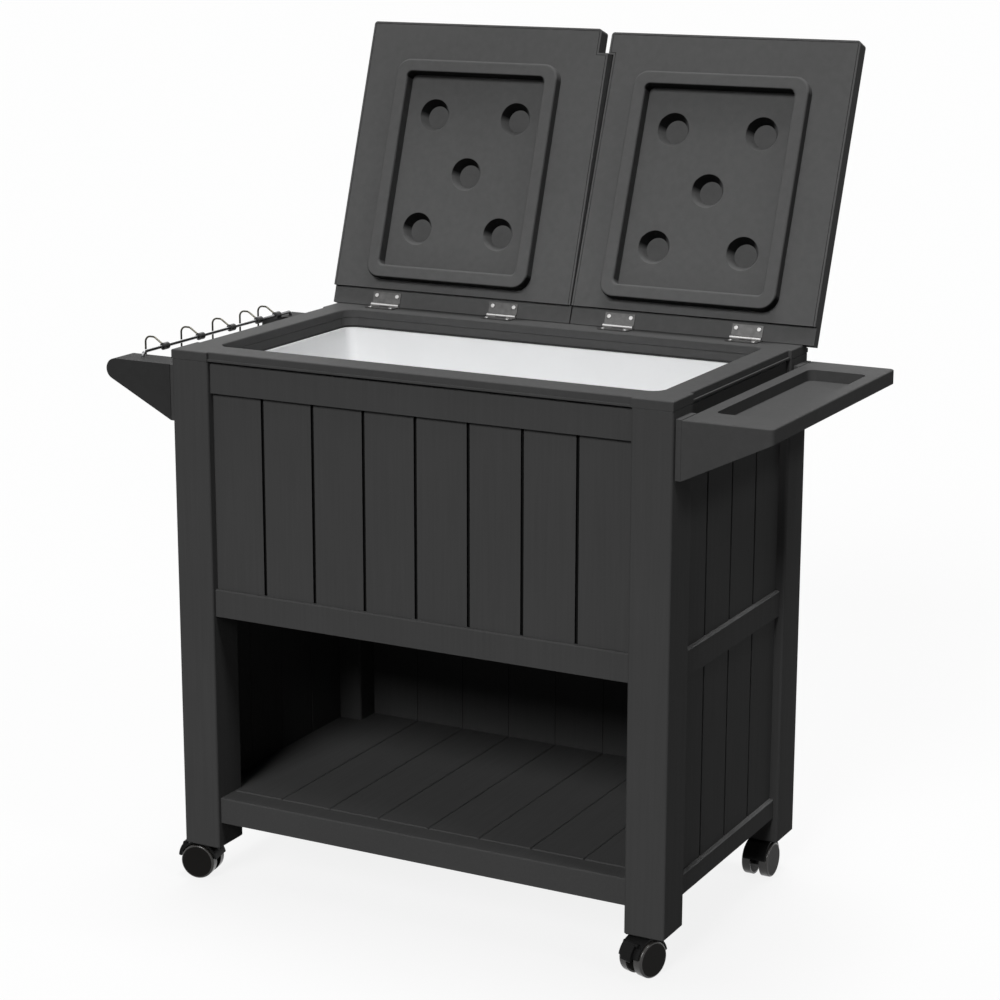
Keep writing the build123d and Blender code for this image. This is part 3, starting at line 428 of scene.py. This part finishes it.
charcoal_legs = moulded_plastic("charcoal_legs", CHARCOAL, BOARD_GRAIN)
charcoal_sides_painted_ledges = moulded_plastic("charcoal_sides_painted_ledges", CHARCOAL, BOARD_GRAIN, painted_ledge_light=LEDGE_PAINTED_LIGHT)
charcoal_shelf = moulded_plastic("charcoal_shelf", CHARCOAL, SHELF_GRAIN)
charcoal_smooth = moulded_plastic("charcoal_smooth", CHARCOAL, EVEN_GRAIN)
# Painted shade: the bar brackets get a darker copy of the charcoal.
bracket_shaded_charcoal = moulded_plastic("bracket_shaded_charcoal", BRACKET_SHADED_CHARCOAL, EVEN_GRAIN)
lid_charcoal = moulded_plastic("lid_charcoal", LID_CHARCOAL, EVEN_GRAIN, pebble=0.2)
lid_panel_shaded_charcoal = moulded_plastic(
    "lid_panel_shaded_charcoal", LID_CHARCOAL, EVEN_GRAIN, pebble=0.2, shade_facing=DOWN_THE_LID,
)
liner_white = white_liner()
caster_black = black_plastic()
zinc = zinc_plate("zinc_plate", 0.05, 0.13, painted_knuckle_highlight=0.5)
bright_zinc = zinc_plate("bright_zinc", 0.34, 0.52)
hook_wire = hook_finish()
rubber = black_rubber()
foam = pale_foam()

node_finishes = {
    "front_panel": panel_finish("front_panel", "Y", 0),
    "rear_panel": panel_finish("rear_panel", "Y", 1),
    "left_side_panel": charcoal_sides_painted_ledges,
    "right_side_panel": charcoal_sides_painted_ledges,
    "top_rim": charcoal_smooth,
    "rim_collar": charcoal_smooth,
    "tub_seal": rubber,
    "tub_liner": liner_white,
    "tub_insulation": foam,
    "tub_support_panel": charcoal_smooth,
    "drain_spout": liner_white,
    "drain_nut": caster_black,
    "drain_plug": rubber,
    "shelf": charcoal_shelf,
    "hanger_strips": charcoal_smooth,
    "front_bar_bracket": bracket_shaded_charcoal,
    "rear_bar_bracket": bracket_shaded_charcoal,
    "utensil_bar": bright_wire(),
    "condiment_tray": charcoal_smooth,
    "rim_hinge_leaves": zinc,
    "hinge_pins": bright_zinc,
    "rim_hinge_screws": bright_zinc,
    "caster_sockets": caster_black,
}
for number in HOOK_NUMBERS:
    node_finishes[f"hook_{number}"] = hook_wire
for side in SIDES:
    node_finishes[f"{side}_lid_shell"] = lid_charcoal
    node_finishes[f"{side}_lid_panel"] = lid_panel_shaded_charcoal
    node_finishes[f"{side}_lid_foam"] = foam
    node_finishes[f"{side}_lid_hinge_leaves"] = zinc
    node_finishes[f"{side}_lid_hinge_screws"] = bright_zinc
for corner in CORNERS:
    node_finishes[f"{corner}_leg"] = charcoal_legs
    node_finishes[f"{corner}_caster_housing"] = caster_black
    node_finishes[f"{corner}_caster_steel"] = bright_zinc
    for wheel in (f"{corner}_caster_inner_wheel", f"{corner}_caster_outer_wheel"):
        node_finishes[wheel] = wheel_finish(wheel)
for corner in BRAKED_CORNERS:
    node_finishes[f"{corner}_brake_lever"] = caster_black

for node, finish in node_finishes.items():
    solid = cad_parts[node]
    solid.data.materials.clear()
    solid.data.materials.append(finish)


def top_faces(shape, height):
    """The flat faces at a height that look up."""
    return [
        face for face in shape.faces
        if face.normal.z > 0.99 and abs(face.calc_center_median().z - height) < 1e-6
    ]


def push_out(shape, faces, distance):
    """Extrude faces and move them up, or down into the shape."""
    pushed = bmesh.ops.extrude_face_region(shape, geom=faces)
    moved = [part for part in pushed["geom"] if isinstance(part, bmesh.types.BMVert)]
    bmesh.ops.translate(shape, verts=moved, vec=(0.0, 0.0, distance))


def cross_screw():
    """One pan-head screw with a cross recess, its seat at the origin and its head upwards."""
    shape = bmesh.new()
    bmesh.ops.create_circle(shape, segments=SCREW_SIDES, radius=SCREW_RADIUS, cap_ends=True)
    push_out(shape, list(shape.faces), SCREW_HEIGHT)
    crown = [
        edge for edge in shape.edges if all(vert.co.z > SCREW_HEIGHT / 2 for vert in edge.verts)
    ]
    bmesh.ops.bevel(
        shape, geom=crown, offset=SCREW_HEIGHT * CROWN_SHARE, affect="EDGES",
        segments=CROWN_STEPS, profile=0.5, material=-1,
    )
    shape.normal_update()
    for normal in (Vector((1.0, 0.0, 0.0)), Vector((0.0, 1.0, 0.0))):
        for reach in (-CROSS_LENGTH, -CROSS_WIDTH, CROSS_WIDTH, CROSS_LENGTH):
            faces = top_faces(shape, SCREW_HEIGHT)
            edges = {edge for face in faces for edge in face.edges}
            verts = {vert for face in faces for vert in face.verts}
            bmesh.ops.bisect_plane(
                shape, geom=faces + list(edges) + list(verts),
                plane_co=normal * reach / 2, plane_no=normal,
            )
            shape.normal_update()
    slots = []
    for face in top_faces(shape, SCREW_HEIGHT):
        middle = face.calc_center_median()
        near, far = sorted((abs(middle.x), abs(middle.y)))
        if near < CROSS_WIDTH / 2 and far < CROSS_LENGTH / 2:
            slots.append(face)
    push_out(shape, slots, -CROSS_DEPTH)
    bmesh.ops.recalc_face_normals(shape, faces=list(shape.faces))
    return shape


def seat(place, outwards, twist):
    """The matrix that puts a piece made upright at the origin onto a seat."""
    lean = Vector(outwards).to_track_quat("Z", "X").to_matrix().to_4x4()
    return Matrix.Translation(place) @ lean @ Matrix.Rotation(twist, 4, "Z")


def new_object(name, data):
    """An object at the origin, in the scene."""
    made = bpy.data.objects.new(name, data)
    bpy.context.scene.collection.objects.link(made)
    return made


def screw_row(name, seats, body, node):
    """A body's hinge screws as one piece, which stands for their plain solids."""
    row = bmesh.new()
    for matrix in seats:
        screw = cross_screw()
        bmesh.ops.transform(screw, matrix=matrix, verts=list(screw.verts))
        single = bpy.data.meshes.new("screw")
        screw.to_mesh(single)
        screw.free()
        row.from_mesh(single)
        bpy.data.meshes.remove(single)
    mesh = bpy.data.meshes.new(name)
    row.to_mesh(mesh)
    row.free()
    mesh.materials.append(bright_zinc)
    piece = new_object(name, mesh)
    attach(piece, body)
    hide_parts(node)


def hinge_screws():
    """Cross-recessed screws in the leaves on the rim and on both lids."""
    leaf_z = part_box("rim_hinge_screws")[1][2] - SCREW_HEIGHT
    rim_seats = []
    for side in SIDES:
        lid_seats = []
        lean = LID_ANGLES[side]
        along = Vector((0.0, -math.cos(lean), math.sin(lean)))
        inwards = -Vector((0.0, math.sin(lean), math.cos(lean)))
        for hinge_x in HINGES[side]:
            for hand in (-1, 1):
                screw_x = hinge_x + hand * SCREW_HALF_PITCH
                twist = TWIST_PER_METRE * screw_x * hand
                rim_place = Vector((screw_x, pin_y - SCREW_FROM_PIN, leaf_z))
                rim_seats.append(seat(rim_place, (0.0, 0.0, 1.0), twist))
                pin_place = Vector((screw_x, pin_y, pin_z))
                lid_place = pin_place + along * SCREW_FROM_PIN - inwards * LEAF_TOP
                lid_seats.append(seat(lid_place, inwards, twist + LID_TWIST))
        screw_row(f"{side}_lid_cross_screws", lid_seats, f"{side}_lid", f"{side}_lid_hinge_screws")
    screw_row("rim_cross_screws", rim_seats, "cabinet", "rim_hinge_screws")


def ray_seen(finish):
    """1 for rays from the camera and for mirror and glass rays, 0 for light on matte surfaces."""
    camera, glossy, clear = (
        finish.node("ShaderNodeLightPath", {}, {}, output=f"Is {kind} Ray")
        for kind in ("Camera", "Glossy", "Transmission")
    )
    return camera.combine("MAXIMUM", camera, glossy.combine("MAXIMUM", glossy, clear))


def studio_floor():
    """Pale floor that looks white to the camera and keeps the shadow."""
    finish = Finish("studio_floor")
    speck = finish.noise(finish.place(), 3.0)
    tone = finish.colour_mix(speck, grey(FLOOR_TONE * 0.99), grey(FLOOR_TONE))
    matte = finish.node("ShaderNodeBsdfDiffuse", {}, {"Color": tone})
    strength = ray_seen(finish) * FLOOR_GLOW
    glow = finish.node("ShaderNodeEmission", {}, {"Color": grey(1.0), "Strength": strength})
    both = finish.node("ShaderNodeAddShader", {}, {0: matte, 1: glow})
    finish.node("ShaderNodeOutputMaterial", {}, {"Surface": both})
    return finish.material


def build_stage():
    """Floor, white surroundings and lamps."""
    shape = bmesh.new()
    bmesh.ops.create_grid(shape, x_segments=1, y_segments=1, size=FLOOR_SIZE / 2)
    mesh = bpy.data.meshes.new("floor")
    shape.to_mesh(mesh)
    shape.free()
    mesh.materials.append(studio_floor())
    new_object("floor", mesh)

    world = bpy.data.worlds.new("studio")
    bpy.context.scene.world = world
    sky = WorldFinish(world)
    strength = ray_seen(sky) * (1.0 - AMBIENT) + AMBIENT
    glow = sky.node("ShaderNodeBackground", {}, {"Color": grey(1.0), "Strength": strength})
    sky.node("ShaderNodeOutputWorld", {}, {"Surface": glow})

    for name, (strength, softness, source) in LAMPS.items():
        lamp = bpy.data.lights.new(name, "SUN")
        lamp.energy = strength
        lamp.angle = math.radians(softness)
        holder = new_object(name, lamp)
        holder.rotation_euler = Vector(source).to_track_quat("Z", "Y").to_euler()


def build_camera():
    """The camera at the photograph's viewing angle."""
    lens = bpy.data.cameras.new("camera")
    lens.sensor_width = SENSOR_WIDTH
    lens.lens = CAMERA_LENS
    lens.clip_end = CAMERA_REACH
    turn = (
        Matrix.Rotation(CAMERA_YAW, 4, "Z")
        @ Matrix.Rotation(math.pi / 2 - CAMERA_DROP, 4, "X")
        @ Matrix.Rotation(CAMERA_ROLL, 4, "Z")
    )
    holder = new_object("camera", lens)
    holder.matrix_world = Matrix.Translation(CAMERA_PLACE) @ turn
    bpy.context.scene.camera = holder


hinge_screws()
build_stage()
build_camera()
bpy.context.scene.view_settings.view_transform = "Standard"
